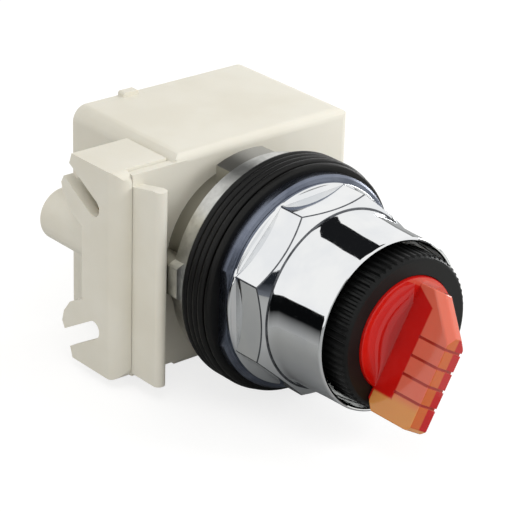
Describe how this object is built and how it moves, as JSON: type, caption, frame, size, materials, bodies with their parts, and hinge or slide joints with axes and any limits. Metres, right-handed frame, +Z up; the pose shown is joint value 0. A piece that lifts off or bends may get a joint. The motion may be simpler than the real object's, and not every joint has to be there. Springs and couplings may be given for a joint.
{
  "type": "illuminated selector switch",
  "caption": "Panel-mounted illuminated rotary selector switch with a red lever knob, chrome ring nut, rubber gaskets and a transformer lamp module.",
  "frame": {"origin": "on the operator axis, in the plane where the rear gasket meets the front of the panel", "axes": "-Y out of the panel towards the knob, +Y into the cabinet along the operator axis, +Z up, the terminal block on the -X side"},
  "size_m": [0.0544, 0.087, 0.044],
  "materials": {
    "lens_red": "clear red moulded polycarbonate, glossy",
    "black_plastic": "satin moulded black nylon",
    "black_rubber": "satin moulded nitrile",
    "chrome": "bright polished chrome plate",
    "washer_steel": "blued sheet steel, satin",
    "zinc_cast": "die-cast zinc, satin",
    "zinc_plate": "zinc-plated steel",
    "spring_steel": "bright spring wire and strip",
    "white_acetal": "natural acetal, satin",
    "ivory_plastic": "ivory moulded polyamide, satin",
    "bobbin_plastic": "natural nylon",
    "brass": "plain drawn and stamped brass",
    "clear_glass": "clear blown glass",
    "filament_wire": "drawn wire",
    "core_steel": "varnished sheet steel",
    "copper": "enamelled copper winding"
  },
  "bodies": {
    "operator": {"rod_guide": "black_plastic", "lamp_holder": "black_plastic", "gasket_1": "black_rubber", "gasket_2": "black_rubber", "gasket_3": "black_rubber", "gasket_4": "black_rubber", "gasket_5": "black_rubber", "shaft_seal": "black_rubber", "ring_nut": "chrome", "thrust_washer": "washer_steel", "operator_body": "zinc_cast", "locating_washer": "zinc_plate", "module_screws": "zinc_plate", "terminal_screws": "zinc_plate", "contact_spring": "spring_steel", "module_housing": "ivory_plastic", "back_cover": "ivory_plastic", "terminal_block": "ivory_plastic", "coil_bobbin": "bobbin_plastic", "lamp_cap": "brass", "socket_shell": "brass", "socket_contact": "brass", "terminal_clamps": "brass", "lamp_leads": "brass", "supply_leads": "brass", "lamp_glass": "clear_glass", "lamp_filament": "filament_wire", "transformer_core": "core_steel", "primary_coil": "copper", "secondary_coil": "copper"},
    "knob": {"knob_lens": "lens_red", "bezel_ring": "black_plastic", "turning_sleeve": "black_plastic", "sleeve_clip": "spring_steel", "actuator_cam": "white_acetal", "detent_spring": "spring_steel"},
    "left_plunger": {"left_rod": "white_acetal", "left_rod_spring": "spring_steel"},
    "right_plunger": {"right_rod": "white_acetal", "right_rod_spring": "spring_steel"}
  },
  "joints": [
    {"name": "knob_turn", "type": "hinge", "parent": "operator", "child": "knob", "pos_m": [0, 0, 0], "axis": [0, -1, 0], "range_deg": [0, 60]},
    {"name": "left_rod_slide", "type": "slide", "parent": "operator", "child": "left_plunger", "axis": [0, -1, 0], "range_m": [0, 0.0018]},
    {"name": "right_rod_slide", "type": "slide", "parent": "operator", "child": "right_plunger", "axis": [0, 1, 0], "range_m": [0, 0.0018]}
  ],
  "couplings": [
    {"joint": "left_rod_slide", "follows": "knob_turn", "m_per_rad": 0.0017181},
    {"joint": "right_rod_slide", "follows": "knob_turn", "m_per_rad": 0.0017181}
  ]
}
